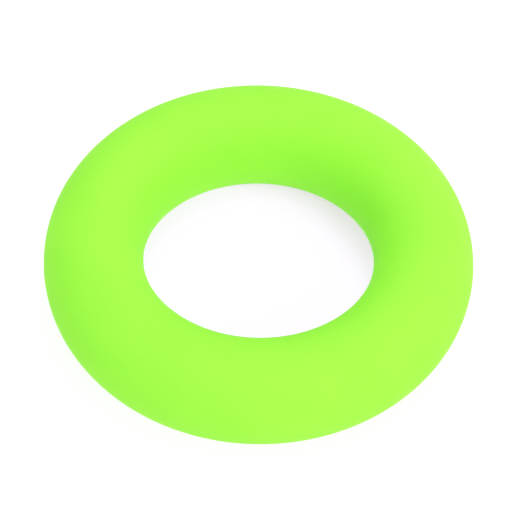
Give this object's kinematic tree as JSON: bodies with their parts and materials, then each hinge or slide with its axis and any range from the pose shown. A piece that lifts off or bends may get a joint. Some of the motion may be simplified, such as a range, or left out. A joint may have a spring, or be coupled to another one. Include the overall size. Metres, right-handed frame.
{
  "type": "silicone grip ring",
  "caption": "Thick one-piece ring of soft, springy silicone rubber with an oval section, to squeeze and stretch in the hand, or to slip over a bar or cord as a soft buffer.",
  "frame": {"origin": "centre of the hole, on the surface that the ring lies on", "axes": "+Z along the ring's axis, up from that surface; X and Y are alike, because the ring is round"},
  "size_m": [0.07, 0.07, 0.0174],
  "materials": {
    "silicone": "matte"
  },
  "bodies": {
    "root": {"ring": "silicone"}
  },
  "joints": []
}
